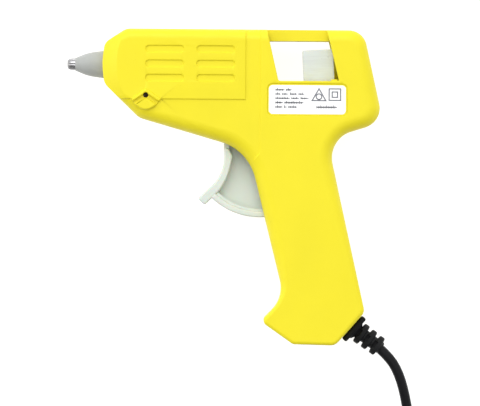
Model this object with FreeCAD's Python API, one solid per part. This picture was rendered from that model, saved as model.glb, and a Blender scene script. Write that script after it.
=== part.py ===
"""Small mains hot-melt glue gun for 7 mm sticks, lying on its right side.

The gun is designed in its own side view: u runs back from the front face of the housing along the
barrel axis, v runs up from that axis, and w runs from the joint plane of the two shells towards the
left shell. place() then moves every piece into the part's frame: +X towards the rear of the gun, +Y
towards its top, +Z out of its left side, and the origin under the middle of the gun's outline, on the
surface that it lies on. All sizes are in millimetres.
"""
import FreeCAD
import Part
import math
import os

V = FreeCAD.Vector

# ---------------------------------------------------------------- driving dimensions
# Housing, side view. Each corner of the outline is (u, v, radius of its rounding).
HOUSING = [
    (1.0, 8.1, 4.2), (9.1, 13.5, 5.0), (98.95, 13.5, 6.9), (106.7, -21.1, 7.5), (85.55, -27.65, 10.5),
    (100.2, -93.2, 3.2), (89.1, -105.85, 4.0), (73.1, -105.5, 3.0), (60.9, -96.95, 2.0),
    (69.7, -88.0, 11.8), (55.65, -32.08, 19.0), (14.0, -20.05, 6.0), (0.9, -7.3, 5.5), (0.0, 0.4, 28.0),
]
# Radius that rounds the side's rim near each of these places on the outline, (u, v, radius).
RIM = [
    (1.0, 8.1, 1.8), (9.1, 13.5, 3.8), (50.0, 13.5, 4.5), (98.95, 13.5, 4.5), (106.7, -21.1, 5.0),
    (85.55, -27.65, 5.0), (100.2, -93.2, 1.6), (89.1, -105.85, 1.3), (73.1, -105.5, 1.3),
    (60.9, -96.95, 1.3), (69.7, -88.0, 3.2), (55.65, -32.08, 5.3), (14.0, -20.05, 4.8),
    (0.9, -7.3, 1.8), (0.0, 0.4, 1.8),
]
HALF_HIGH = 13.1          # joint plane to the raised side faces
HALF_LOW = 12.6           # joint plane to the sunk strip and the lower front
HALF_BOSS = 13.9          # joint plane to the stand boss, the widest point
WALL = 2.0                # wall along the outline
SIDE_WALL = 2.4           # wall at the side faces
JOINT_REBATE = (0.2, 0.12)      # depth and height of the fine rebate along the shells' joint
CAVITY_HALF = HALF_HIGH - SIDE_WALL

# The bevelled nose is turned about an axis across the gun.
NOSE_AXIS = (29.6, 0.4)
NOSE_R_FRONT = 29.6
NOSE_R_SIDE = 24.0
NOSE_DROP = 4.5

# Sunk strip beside the raised front panel, and the sunk lower front.
PANEL_END = 54.45
PANEL_BOTTOM = -13.05
STRIP_END = 60.05
STRIP_TOP = 16.0
STRIP_FOOT = -33.2

SLOT_LENGTH = 14.5
SLOT_HEIGHT = 2.65
SLOT_DEPTH = 0.5
SLOT_COLUMNS = (23.8, 43.12)
SLOT_ROWS = (5.87, 0.33, -5.1)

# Window through both shells, open at the top round a sunk bridging bar.
WINDOW = [(61.84, 16.0, 0.0), (84.5, 16.0, 0.0), (89.8, -5.87, 0.6), (66.9, -5.93, 1.0)]
WINDOW_LIP = 1.6
LIP_HALF = 7.5
GRIPPER_STOP = (86.8, 89.2, -7.5, -5.2)
BAR_BOTTOM = 9.3
BAR_HALF = 6.5

LABEL_BOX = (63.3, -18.45, 92.4, -7.5)
LABEL_ROUND = 1.5
LABEL_MARGIN = 0.55
LABEL_RECESS = 0.25
LABEL_THICKNESS = 0.12

# Boss for the wire stand: hole, two grooves for the wire.
STAND_HOLE = (16.7, -11.65)
STAND_HOLE_R = 1.0
STAND_BOSS = [(16.8, -9.1, 0.8), (22.6, -13.1, 0.6), (20.9, -15.3, 0.8), (16.7, -18.2, 4.6),
              (12.8, -15.4, 0.8), (11.2, -13.2, 0.6)]
STAND_BOSS_INNER = 8.7
STAND_BOSS_CHAMFER = 0.35
GROOVE_WIDTH = 1.6
GROOVE_DEPTH = 1.2
GROOVE_ANGLE = 34.0

# Barrel: nozzle, its silicone sleeve, the melt chamber and the stick's way in.
NOZZLE_TIP = -13.25
SLEEVE_PROFILE = [(-10.25, 2.42), (-8.7, 3.05), (-6.42, 3.96), (-3.0, 4.74), (0.2, 5.15)]
SLEEVE_FLANGE = (3.0, 4.9, 6.4)
FRONT_OPENING_R = 5.3
CHAMBER = (5.0, 38.0, 46.0)
CHAMBER_R = 6.0
NECK_R = 5.0
BORE_R = 3.9
HEATER_BLOCK = (16.0, 34.0, -13.0, -4.0, 6.5)
HEATER_SLOT = (-11.6, -8.2, 5.0)
SUPPORT_RIBS = ((12.0, CHAMBER_R + 0.1, -30.0), (40.0, NECK_R + 0.1, -7.0))     # place, hole, foot
RIB_THICKNESS = 1.6
INLET_SLEEVE = (42.2, 58.0, 6.4, 3.8)
STICK_GUIDE = (91.0, 4.0, 5.8)

# Trigger, drive link and gripper.
PIVOT = (60.0, -31.3)
PIN_R = 1.5
RUNNING = 0.05            # radial clearance of a turning fit
ARM = 21.0                # pivot to link pin
TRAVEL_DEG = 24.4         # full pull of the trigger
PIVOT_BOSS_R = 3.1
HUB_R = 4.6
HUB_HALF = 4.15
CLEVIS_HALF = 2.15
BLADE_HALF = 5.2
BLADE = [(46.45, -31.3, 0.8), (48.1, -31.3, 1.3), (49.85, -34.4, 2.4), (48.4, -41.0, 20.0), (45.6, -46.9, 14.0),
         (39.2, -53.15, 0.9), (36.6, -50.6, 0.8), (43.6, -44.1, 12.0), (46.75, -38.0, 14.0)]
BLADE_MIDDLE = [(47.5, -28.0), (48.1, -35.7), (46.2, -42.5), (41.5, -48.8), (37.5, -52.3)]
WEB_HALF = 1.1
RIM_OUTER = 26.3
RIM_STEP = 24.0
RIM_INNER = 23.1
RIM_ANGLES = (225.5, 302.0)
RIM_LIP_HALF = 4.5
GUARD_HALF = 4.4
TRIGGER_ROUND = 0.7
GUARD_OUTER = 13.6
GUARD_INNER = 11.6
TRIGGER_SLOT_HALF = 5.6
LINK_HALF = 1.9
GRIPPER_PIN = (82.5, -8.3)
LINK_EYE_CLEARANCE = 0.4
GRIPPER_CENTRE = (82.05, 0.0)
GRIPPER_SIZE = (11.5, 6.05, 6.3, 7.0)     # length, height over and under the axis, half width
GRIPPER_TILT = 3.0
EAR_HALF = (3.6, 5.6)
SPRING_R = 4.2
SPRING_WIRE_R = 0.4
SPRING_PITCH = 0.95
SPRING_TURNS = 4.5
SPRING_LEG = 5.8
SPRING_PEG_R = 0.9
SPRING_POST = (3.0, 5.1, 0.7)   # behind and above the pivot, radius

SCREWS = [(27.0, -17.6), (75.0, -19.0), (92.5, 9.0), (70.5, -62.0), (77.0, -97.5)]
SCREW_SHANK_R = 1.1
SCREW_HEAD = (2.3, 1.6)
SCREW_SEAT = -7.0
SCREW_END = 7.5

# Cord: exit on the sloping facet at the foot of the handle, and the route to the coil.
CORD_R = 1.9
CORD_EXIT = (95.47, -98.81)
CORD_DIRECTION = V(0.806, -0.592, 0)
FACET_NORMAL = V(0.7464, -0.6655, 0)
RELIEF_RIBS = ((4.65, 4.1), (8.24, 4.0), (11.97, 3.85))
RELIEF_END = 13.3
CORD_INNER_END = 14.0
COIL_CENTRE = (87.8, -166.5)
COIL_RADII = (15.5, 19.3, 23.1, 26.9, 30.7)
COIL_LAYERS = 2
FLOOR = -HALF_BOSS
TAIL_ANGLE = 245.0
PLUG_END = (54.6, -189.9)       # where the cord goes into the plug's relief
PLUG_RELIEF = (12.0, 2.7, 4.6)  # length, radius at the cord, radius at the plug
PLUG_BODY = (30.0, 25.0, 16.0)  # length, width, height
PLUG_PIN = (17.0, 6.3, 1.6, 6.9, 30.0)     # length, width, thickness, offset from the axis, lean
PLUG_AXIS_W = FLOOR + PLUG_BODY[2] / 2

# Middle of the gun's own outline in the side view, which becomes the part's origin.
MIDDLE = V(46.06, -46.155, FLOOR)


# ---------------------------------------------------------------- shape helpers
def place(shape):
    """Move a shape from the design's side view into the part's frame."""
    moved = shape.copy()
    moved.translate(-MIDDLE)
    return moved


def mirrored(shape):
    """The same shape on the other side of the joint plane."""
    return shape.mirror(V(0, 0, 0), V(0, 0, 1))


def rounded_wire(corners, w=0.0):
    """Closed wire through corners (u, v, radius), with an arc at each corner that has a radius."""
    bends = []
    count = len(corners)
    for i in range(count):
        corner = V(corners[i][0], corners[i][1], w)
        back = (V(corners[i - 1][0], corners[i - 1][1], w) - corner).normalize()
        ahead = (V(corners[(i + 1) % count][0], corners[(i + 1) % count][1], w) - corner).normalize()
        radius = corners[i][2]
        if radius == 0:
            bends.append((corner, corner, corner, 0.0))
            continue
        half = back.getAngle(ahead) / 2
        reach = radius / math.tan(half)
        middle = corner + (back + ahead).normalize() * (radius / math.sin(half) - radius)
        bends.append((corner + back * reach, middle, corner + ahead * reach, radius))
    edges = []
    for i in range(count):
        start, middle, end, radius = bends[i]
        following = bends[(i + 1) % count][0]
        if radius > 0:
            edges.append(Part.Arc(start, middle, end).toShape())
        if end.distanceToPoint(following) > 1e-6:
            edges.append(Part.LineSegment(end, following).toShape())
    return Part.Wire(edges)


def prism(corners, w0, w1):
    """Solid with a rounded outline, from height w0 to w1."""
    return Part.Face(rounded_wire(corners, w0)).extrude(V(0, 0, w1 - w0))


def plain(points):
    """Corners without rounding."""
    return [(u, v, 0.0) for u, v in points]


def inset(corners, depth):
    """The outline moved inwards by depth; its corners' radii follow."""
    count = len(corners)
    area = sum(corners[i - 1][0] * corners[i][1] - corners[i][0] * corners[i - 1][1] for i in range(count))
    turn = 1.0 if area > 0 else -1.0
    lines = []
    for i in range(count):
        a, b = corners[i], corners[(i + 1) % count]
        length = math.hypot(b[0] - a[0], b[1] - a[1])
        du, dv = (b[0] - a[0]) / length, (b[1] - a[1]) / length
        lines.append((a[0] - turn * dv * depth, a[1] + turn * du * depth, du, dv))
    result = []
    for i in range(count):
        u0, v0, du0, dv0 = lines[i - 1]
        u1, v1, du1, dv1 = lines[i]
        cross = du0 * dv1 - dv0 * du1
        along = ((u1 - u0) * dv1 - (v1 - v0) * du1) / cross
        convex = cross * turn > 0
        radius = corners[i][2] - depth if convex else corners[i][2] + depth
        result.append((u0 + du0 * along, v0 + dv0 * along, max(radius, 0.3)))
    return result


def box(u0, u1, v0, v1, w0, w1):
    return Part.makeBox(u1 - u0, v1 - v0, w1 - w0, V(u0, v0, w0))


def across(centre, radius, w0, w1):
    """Cylinder across the gun."""
    return Part.makeCylinder(radius, w1 - w0, V(centre[0], centre[1], w0), V(0, 0, 1))


def along(u0, u1, radius, v=0.0, w=0.0):
    """Cylinder along the barrel."""
    return Part.makeCylinder(radius, u1 - u0, V(u0, v, w), V(1, 0, 0))


def turned(profile):
    """Solid turned about the barrel axis from points (u, radius)."""
    points = [V(u, radius, 0) for u, radius in profile]
    points = [V(profile[0][0], 0, 0)] + points + [V(profile[-1][0], 0, 0)]
    face = Part.Face(Part.makePolygon(points + [points[0]]))
    return face.revolve(V(0, 0, 0), V(1, 0, 0), 360)


def fused(shapes):
    """One solid from shapes that overlap or touch."""
    return shapes[0].multiFuse(shapes[1:]).removeSplitter()


def edges_at(solid, half):
    """The edges of a solid that lie in the planes w = half and w = -half."""
    found = []
    for edge in solid.Edges:
        low, high = edge.BoundBox.ZMin, edge.BoundBox.ZMax
        if abs(high - low) < 1e-4 and abs(abs(low) - half) < 1e-4:
            found.append(edge)
    return found


def round_rim(solid, w, places):
    """Round the edges that lie in the plane w, with the radius of the nearest of the places."""
    def radius_at(point):
        nearest = min(places, key=lambda place: math.hypot(place[0] - point.x, place[1] - point.y))
        return nearest[2]

    document = FreeCAD.newDocument("rim")
    base = document.addObject("Part::Feature", "base")
    base.Shape = solid
    rounding = document.addObject("Part::Fillet", "rounding")
    rounding.Base = base
    rows = []
    for number, edge in enumerate(solid.Edges, 1):
        extent = edge.BoundBox
        if abs(extent.ZMin - w) < 1e-4 and abs(extent.ZMax - w) < 1e-4:
            first = radius_at(edge.valueAt(edge.FirstParameter))
            last = radius_at(edge.valueAt(edge.LastParameter))
            rows.append((number, first, last))
    rounding.Edges = rows
    document.recompute()
    result = rounding.Shape.copy()
    FreeCAD.closeDocument(document.Name)
    return result


def tube(points, radius):
    """Round tube along straight runs that tangent arcs join; returns the solid and its bend radii."""
    edges = []
    radii = []
    last = points[0]
    for i in range(1, len(points) - 1):
        before = points[i] - points[i - 1]
        after = points[i + 1] - points[i]
        back = (before * -1).normalize()
        ahead = V(after).normalize()
        turn = math.pi - back.getAngle(ahead)
        bend = 0.45 * min(before.Length, after.Length) / math.tan(turn / 2)
        reach = bend * math.tan(turn / 2)
        start = points[i] + back * reach
        end = points[i] + ahead * reach
        outward = bend / math.cos(turn / 2) - bend
        middle = points[i] + (back + ahead).normalize() * outward
        edges.append(Part.LineSegment(last, start).toShape())
        edges.append(Part.Arc(start, middle, end).toShape())
        radii.append(round(bend, 1))
        last = end
    edges.append(Part.LineSegment(last, points[-1]).toShape())
    path = Part.Wire(edges)
    direction = points[1] - points[0]
    section = Part.Wire(Part.Circle(points[0], direction, radius).toShape())
    solid = path.makePipeShell([section], True, False)
    return solid, radii, path.Length


def capsule(a, b, radius_a, radius_b, w0, w1):
    """Flat bar from circle a to circle b, as wide as each at its end."""
    du, dv = b[0] - a[0], b[1] - a[1]
    length = math.hypot(du, dv)
    nu, nv = -dv / length, du / length
    sides = [(a[0] + nu * radius_a, a[1] + nv * radius_a), (b[0] + nu * radius_b, b[1] + nv * radius_b),
             (b[0] - nu * radius_b, b[1] - nv * radius_b), (a[0] - nu * radius_a, a[1] - nv * radius_a)]
    bar = prism(plain(sides), w0, w1)
    return fused([bar, across(a, radius_a, w0, w1), across(b, radius_b, w0, w1)])


def polar(radius, degrees, centre=PIVOT):
    angle = math.radians(degrees)
    return (centre[0] + radius * math.cos(angle), centre[1] + radius * math.sin(angle))


def ring_sector(inner, outer, start, end, w0, w1):
    """Part of a flat ring about the trigger's pivot, between two angles."""
    middle = (start + end) / 2
    corners = [V(*polar(r, a), w0) for r, a in ((outer, start), (outer, middle), (outer, end),
                                                (inner, end), (inner, middle), (inner, start))]
    edges = [Part.Arc(corners[0], corners[1], corners[2]).toShape(),
             Part.LineSegment(corners[2], corners[3]).toShape(),
             Part.Arc(corners[3], corners[4], corners[5]).toShape(),
             Part.LineSegment(corners[5], corners[0]).toShape()]
    return Part.Face(Part.Wire(edges)).extrude(V(0, 0, w1 - w0))


# ---------------------------------------------------------------- housing shells
def nose_cutter(radius_front, radius_side, w_front, w_side):
    """What is outside the bevelled nose, as a solid to cut away."""
    block = box(-5, 17, -21, 20, -1, w_side + 4)
    centre = V(NOSE_AXIS[0], NOSE_AXIS[1], 0)
    kept = [Part.makeCylinder(radius_front, w_front + 2, centre + V(0, 0, -2), V(0, 0, 1)),
            Part.makeCone(radius_front, radius_side, w_side - w_front, centre + V(0, 0, w_front), V(0, 0, 1)),
            Part.makeCylinder(radius_side, 6, centre + V(0, 0, w_side), V(0, 0, 1))]
    return block.cut(fused(kept))


def outer_half(half):
    """Outer form of one shell with its side face at height half."""
    body = round_rim(prism(HOUSING, 0, half), half, RIM)
    return body.cut(nose_cutter(NOSE_R_FRONT, NOSE_R_SIDE, HALF_HIGH - NOSE_DROP, HALF_HIGH))


def low_region():
    """Side-view region of the sunk strip and the sunk lower front, as a solid."""
    strip = prism(plain([(PANEL_END, -40), (STRIP_END, STRIP_FOOT), (STRIP_END, STRIP_TOP),
                         (PANEL_END, STRIP_TOP)]), 0, 20)
    front = prism(plain([(-5, PANEL_BOTTOM), (STRIP_END, PANEL_BOTTOM),
                         (STRIP_END, STRIP_FOOT), (53.0, -38.0), (-5, -38.0)]), 0, 20)
    return fused([strip, front])


def stand_boss():
    """Raised boss that takes the wire stand, without its hole."""
    boss = prism(STAND_BOSS, STAND_BOSS_INNER, HALF_BOSS)
    return boss.makeChamfer(STAND_BOSS_CHAMFER, edges_at(boss, HALF_BOSS))


def stand_boss_cuts():
    """Hole and two wire grooves of the stand boss."""
    cuts = [across(STAND_HOLE, STAND_HOLE_R, STAND_BOSS_INNER - 1, HALF_BOSS + 1)]
    for angle in (-GROOVE_ANGLE, 180 + GROOVE_ANGLE):
        groove = box(0, 9, -GROOVE_WIDTH / 2, GROOVE_WIDTH / 2, HALF_BOSS - GROOVE_DEPTH, HALF_BOSS + 1)
        groove.rotate(V(0, 0, 0), V(0, 0, 1), angle)
        groove.translate(V(STAND_HOLE[0], STAND_HOLE[1], 0))
        cuts.append(groove)
    return cuts


def vent_slots():
    """Six shallow slots in the raised panel."""
    cuts = []
    for u in SLOT_COLUMNS:
        for v in SLOT_ROWS:
            du, dv = SLOT_LENGTH / 2, SLOT_HEIGHT / 2
            corners = [(u - du, v - dv, dv * 0.98), (u + du, v - dv, dv * 0.98),
                       (u + du, v + dv, dv * 0.98), (u - du, v + dv, dv * 0.98)]
            cuts.append(prism(corners, HALF_HIGH - SLOT_DEPTH, HALF_HIGH + 1))
    return cuts


def window_frame():
    """Inward lip round the window, and the rail that the gripper slides on."""
    wider = inset(WINDOW, -WINDOW_LIP)
    ring = prism(wider, LIP_HALF, HALF_HIGH - 1).cut(prism(WINDOW, LIP_HALF - 1, HALF_HIGH))
    rail = box(66.0, 91.5, -8.1, -6.9, EAR_HALF[1] + 0.3, HALF_HIGH - 1)
    return [ring, rail]


def window_cuts():
    """The window: beside the bar it reaches the top, under the bar it goes right through."""
    low = [(61.84 + 0.2301 * (16.0 - BAR_BOTTOM), BAR_BOTTOM, 0.5),
           (84.5 + 0.2434 * (16.0 - BAR_BOTTOM), BAR_BOTTOM, 0.5), WINDOW[2], WINDOW[3]]
    return [prism(WINDOW, BAR_HALF, HALF_HIGH + 2), prism(low, -1, HALF_HIGH)]


def chamber_rib(u, hole_radius, foot):
    """Wall across the cavity, from foot up, that holds the melt chamber."""
    wall = box(u, u + RIB_THICKNESS, foot, 14, 0, HALF_HIGH)
    return wall.cut(along(u - 1, u + 3, hole_radius))


def trigger_opening():
    """Slot in the underside and the front of the handle for the trigger."""
    corners = plain([(45.2, -25.5), (45.2, -45), (55, -62), (66.0, -60.2), (63.0, -46), (60.0, -37),
                     (55.5, -32.5), (52.0, -28)])
    return prism(corners, -1, TRIGGER_SLOT_HALF)


def half_shell(side):
    """Left shell (side 1) or right shell (side -1), drawn on the left and mirrored for the right."""
    form = outer_half(HALF_LOW).fuse(outer_half(HALF_HIGH).cut(low_region()))
    cavity = prism(inset(HOUSING, WALL), -1, CAVITY_HALF)
    cavity = cavity.cut(nose_cutter(NOSE_R_FRONT - WALL, NOSE_R_SIDE - WALL, CAVITY_HALF - NOSE_DROP,
                                    CAVITY_HALF))
    boss_radius = 2.8 if side > 0 else 3.6
    inside = window_frame()
    inside += [chamber_rib(*rib) for rib in SUPPORT_RIBS]
    inside += [across(place_of, boss_radius, 0, HALF_LOW) for place_of in SCREWS]
    inside.append(box(61.0, 88.5, BAR_BOTTOM, 13.4, 0, BAR_HALF))
    inside.append(across(PIVOT, PIVOT_BOSS_R, HUB_HALF + 0.2, HALF_LOW))
    guide = along(STICK_GUIDE[0], 104.0, STICK_GUIDE[2]).fuse(
        box(STICK_GUIDE[0], STICK_GUIDE[0] + RIB_THICKNESS, -26, 12, 0, HALF_HIGH))
    inside.append(guide)
    if side < 0:
        inside += clamp_posts()
        back, above, post_r = SPRING_POST
        inside.append(across((PIVOT[0] + back, PIVOT[1] + above), post_r, HUB_HALF + 3.5, HALF_LOW))
    keep_in = form.common(box(-20, 120, -120, 20, 0, 20))
    shell = form.cut(cavity)
    shell = shell.multiFuse([piece.common(keep_in) for piece in inside])
    shell = shell.fuse(stand_boss())

    deep, high = JOINT_REBATE
    cuts = stand_boss_cuts() + vent_slots() + window_cuts()
    cuts.append(prism(HOUSING, -1, high).cut(prism(inset(HOUSING, deep), -2, high + 1)))
    cuts.append(trigger_opening())
    cuts.append(along(-3, 4.0, FRONT_OPENING_R))
    cuts.append(along(STICK_GUIDE[0] - 1, 110, STICK_GUIDE[1]))
    cuts.append(across(PIVOT, PIN_R, 0, 9.0))
    neck = Part.makeCylinder(3.4, 12, V(CORD_EXIT[0], CORD_EXIT[1], 0) - FACET_NORMAL * 6, FACET_NORMAL)
    cuts.append(neck)
    for centre in SCREWS:
        if side > 0:
            cuts.append(across(centre, SCREW_SHANK_R, -1, 8.5))
        else:
            cuts.append(across(centre, SCREW_SHANK_R + 0.3, -1, HALF_HIGH))
            cuts.append(across(centre, SCREW_HEAD[0] + 0.2, -SCREW_SEAT, HALF_HIGH + 1))
    if side > 0:
        u0, v0, u1, v1 = LABEL_BOX
        m = LABEL_MARGIN
        cuts.append(prism([(u0 - m, v0 - m, 1.9), (u1 + m, v0 - m, 1.9), (u1 + m, v1 + m, 1.9),
                           (u0 - m, v1 + m, 1.9)], HALF_HIGH - LABEL_RECESS, HALF_HIGH + 1))
    for cut in cuts:
        shell = shell.cut(cut)
    shell = shell.fuse(box(*GRIPPER_STOP, LIP_HALF, HALF_HIGH - 0.7))
    if side < 0:
        gusset = prism(plain([(87.7, 3.5), (91.5, 3.5), (91.5, -6.5), (87.7, -6.5)]),
                       HALF_HIGH - SIDE_WALL, HALF_HIGH - 0.6)
        shell = shell.fuse(gusset)
        shell = mirrored(shell)
    shell = shell.common(box(-20, 120, -120, 20, -20, 0) if side < 0 else box(-20, 120, -120, 20, 0, 20))
    solids = sorted(shell.Solids, key=lambda solid: solid.Volume)
    return solids[-1].removeSplitter()


def clamp_places():
    """Places of the two posts of the cord clamp, either side of the cord."""
    centre = V(CORD_EXIT[0], CORD_EXIT[1], 0) - CORD_DIRECTION * 9.0
    beside = V(0.592, 0.806, 0) * 5.5
    return [centre + beside, centre - beside]


def clamp_posts():
    """Posts of the cord clamp, drawn on the left for mirroring; they end at the joint plane."""
    posts = []
    for centre in clamp_places():
        post = across((centre.x, centre.y), 2.4, 0.0, HALF_LOW)
        posts.append(post.cut(across((centre.x, centre.y), 0.9, -1, 7.0)))
    return posts


def housing_screws():
    """Five pan-head screws put in from the right side."""
    screws = []
    head_r, head_h = SCREW_HEAD
    for centre in SCREWS:
        shank = across(centre, SCREW_SHANK_R, SCREW_SEAT, SCREW_END)
        head = across(centre, head_r, SCREW_SEAT - head_h, SCREW_SEAT)
        cross = box(centre[0] - 1.3, centre[0] + 1.3, centre[1] - 0.3, centre[1] + 0.3,
                    SCREW_SEAT - head_h - 1, SCREW_SEAT - head_h + 0.7)
        other = box(centre[0] - 0.3, centre[0] + 0.3, centre[1] - 1.3, centre[1] + 1.3,
                    SCREW_SEAT - head_h - 1, SCREW_SEAT - head_h + 0.7)
        screws.append(fused([shank, head]).cut(cross).cut(other))
    return Part.makeCompound(screws)


def rating_label():
    """Plain sticker in its shallow recess on the left shell."""
    u0, v0, u1, v1 = LABEL_BOX
    low = HALF_HIGH - LABEL_RECESS
    corners = [(u0, v0, LABEL_ROUND), (u1, v0, LABEL_ROUND), (u1, v1, LABEL_ROUND), (u0, v1, LABEL_ROUND)]
    return prism(corners, low, low + LABEL_THICKNESS)


# ---------------------------------------------------------------- barrel and heater
def nozzle_outline():
    return [(NOZZLE_TIP, 1.55), (NOZZLE_TIP + 0.5, 2.1), (-12.2, 2.24), (-10.0, 2.24), (-2.0, 3.6),
            (2.0, 4.2), (5.0, 4.2), (5.0, 3.0), (11.0, 3.0)]


def nozzle_tip():
    """Metal nozzle: its outlet, and a stub that goes into the melt chamber."""
    body = turned(nozzle_outline())
    bore = turned([(NOZZLE_TIP - 1, 0.7), (-9.0, 0.7), (-5.0, 1.6), (12.0, 1.6)])
    return body.cut(bore)


def nozzle_sleeve():
    """Silicone sleeve that keeps fingers off the hot nozzle, with a flange behind the front wall."""
    ends = SLEEVE_FLANGE
    curve = Part.BSplineCurve()
    curve.interpolate([V(u, radius, 0) for u, radius in SLEEVE_PROFILE])
    rest = [V(ends[0], 5.15, 0), V(ends[0], ends[2], 0), V(ends[1], ends[2], 0), V(ends[1], 0, 0),
            V(SLEEVE_PROFILE[0][0], 0, 0), V(*SLEEVE_PROFILE[0], 0)]
    start = V(*SLEEVE_PROFILE[-1], 0)
    edges = [curve.toShape()]
    for point in rest:
        edges.append(Part.LineSegment(start, point).toShape())
        start = point
    solid = Part.Face(Part.Wire(edges)).revolve(V(0, 0, 0), V(1, 0, 0), 360)
    return solid.cut(turned(nozzle_outline()))


def melt_chamber():
    """Aluminium melt chamber with the block that holds the heater under it."""
    u0, u1, u2 = CHAMBER
    b0, b1, low, high, half = HEATER_BLOCK
    slot_low, slot_high, slot_half = HEATER_SLOT
    body = fused([along(u0, u1, CHAMBER_R), along(u1, u2, NECK_R), box(b0, b1, low, high, -half, half)])
    bore = turned([(4.0, 3.0), (11.0, 3.0), (11.0, 1.6), (13.0, 1.6), (18.0, BORE_R), (u2 + 1, BORE_R)])
    return body.cut(bore).cut(box(b0 - 1, b1 + 1, slot_low, slot_high, -slot_half, slot_half))


def ptc_heater():
    """Two ceramic heating chips side by side."""
    low, high, half = HEATER_SLOT
    middle = (HEATER_BLOCK[0] + HEATER_BLOCK[1]) / 2
    chips = [box(middle + start, middle + start + 7.8, low + 0.6, high - 0.6, -half + 0.6, half - 0.6)
             for start in (-8.0, 0.2)]
    return Part.makeCompound(chips)


def heater_electrodes():
    """Metal contact strips over and under the chips, each with a tab for its wire."""
    low, high, half = HEATER_SLOT
    strips = []
    for level, tab_w in ((low + 0.3, -3.0), (high - 0.6, 3.0)):
        strip = box(HEATER_BLOCK[0] + 0.8, HEATER_BLOCK[1] - 0.8, level, level + 0.3, -half + 0.6, half - 0.6)
        tab = box(HEATER_BLOCK[1] - 0.8, HEATER_BLOCK[1] + 2.6, level, level + 0.3, tab_w - 1, tab_w + 1)
        strips.append(fused([strip, tab]))
    return Part.makeCompound(strips)


def heater_insulation():
    """Film sleeve that keeps the live heater off the chamber."""
    low, high, half = HEATER_SLOT
    outer = box(HEATER_BLOCK[0] - 0.6, HEATER_BLOCK[1] + 0.6, low, high, -half, half)
    inner = box(HEATER_BLOCK[0] - 2, HEATER_BLOCK[1] + 2, low + 0.3, high - 0.3, -half + 0.3, half - 0.3)
    return outer.cut(inner)


def heater_clip():
    """Spring clip hooked round the heater block."""
    b0, b1, low, high, half = HEATER_BLOCK
    outer = box(22, 28, low - 0.6, low + 6.0, -half - 0.6, half + 0.6)
    return outer.cut(box(21, 29, low, low + 8.0, -half, half))


def inlet_sleeve():
    """Silicone sleeve that leads the stick into the melt chamber."""
    u0, u1, outer, inner = INLET_SLEEVE
    body = along(u0, u1, outer)
    return body.cut(along(u0 - 1, CHAMBER[2], NECK_R)).cut(along(u0 - 1, u1 + 1, inner))


def inlet_clamp():
    """Wire ring that holds the sleeve on the chamber's neck."""
    wire_r = 0.45
    return Part.makeTorus(INLET_SLEEVE[2] + wire_r, wire_r, V(44.2, 0, 0), V(1, 0, 0))


# ---------------------------------------------------------------- trigger, link and gripper
def link_pin_place():
    return polar(ARM, 90 - TRAVEL_DEG / 2)


def trigger():
    """Trigger: finger blade, guard, curved rim, thin web, and the forked arm that drives the link."""
    blade = prism(BLADE, -BLADE_HALF, BLADE_HALF)
    rim = ring_sector(RIM_STEP, RIM_OUTER, *RIM_ANGLES, -BLADE_HALF, BLADE_HALF)
    blade, rim = [piece.makeFillet(TRIGGER_ROUND, edges_at(piece, BLADE_HALF)) for piece in (blade, rim)]
    lip = ring_sector(RIM_INNER, RIM_STEP + 0.5, *RIM_ANGLES, -RIM_LIP_HALF, RIM_LIP_HALF)
    guard = ring_sector(GUARD_INNER, GUARD_OUTER, 150, 184, -GUARD_HALF, GUARD_HALF)
    web = ring_sector(HUB_R - 0.5, RIM_INNER + 0.5, 181, 300, -WEB_HALF, WEB_HALF)
    before_blade = prism(plain(BLADE_MIDDLE + [(30.0, -56.0), (30.0, -28.0)]), -BLADE_HALF, BLADE_HALF)
    web = web.cut(before_blade)
    rim, lip = rim.cut(before_blade), lip.cut(before_blade)
    throat = ring_sector(HUB_R - 0.5, GUARD_INNER + 0.5, 150, 183, -WEB_HALF, WEB_HALF)
    hub = across(PIVOT, HUB_R, -HUB_HALF, HUB_HALF)
    spokes = [ring_sector(HUB_R - 0.5, GUARD_INNER + 0.5, 150, 162, -CLEVIS_HALF, CLEVIS_HALF)]
    pin = link_pin_place()
    arms = [capsule(PIVOT, pin, 4.4, 3.2, CLEVIS_HALF, HUB_HALF),
            capsule(PIVOT, pin, 4.4, 3.2, -HUB_HALF, -CLEVIS_HALF)]
    peg = across(spring_peg(), SPRING_PEG_R, -HUB_HALF - 1.4, -HUB_HALF + 0.5)
    body = fused([hub, web, throat, rim, lip, blade, guard, peg] + spokes + arms)
    body = body.cut(across(PIVOT, PIN_R + RUNNING, -10, 10))
    return body.cut(across(pin, PIN_R, -10, 10))


def trigger_pin():
    return across(PIVOT, PIN_R, -9.0, 9.0)


def link_pin():
    return across(link_pin_place(), PIN_R, -HUB_HALF, HUB_HALF)


def drive_link():
    """Flat bar from the trigger's arm to the gripper; its rear eye has room for the arm's rise and fall."""
    rise = ARM * (1 - math.cos(math.radians(TRAVEL_DEG / 2)))
    front = link_pin_place()
    rear = (GRIPPER_PIN[0], GRIPPER_PIN[1] - rise / 2)
    bar = capsule(front, rear, 3.0, 2.8, -LINK_HALF, LINK_HALF)
    bar = bar.cut(across(front, PIN_R + RUNNING, -5, 5))
    return bar.cut(across(rear, PIN_R + LINK_EYE_CLEARANCE, -5, 5))


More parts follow.
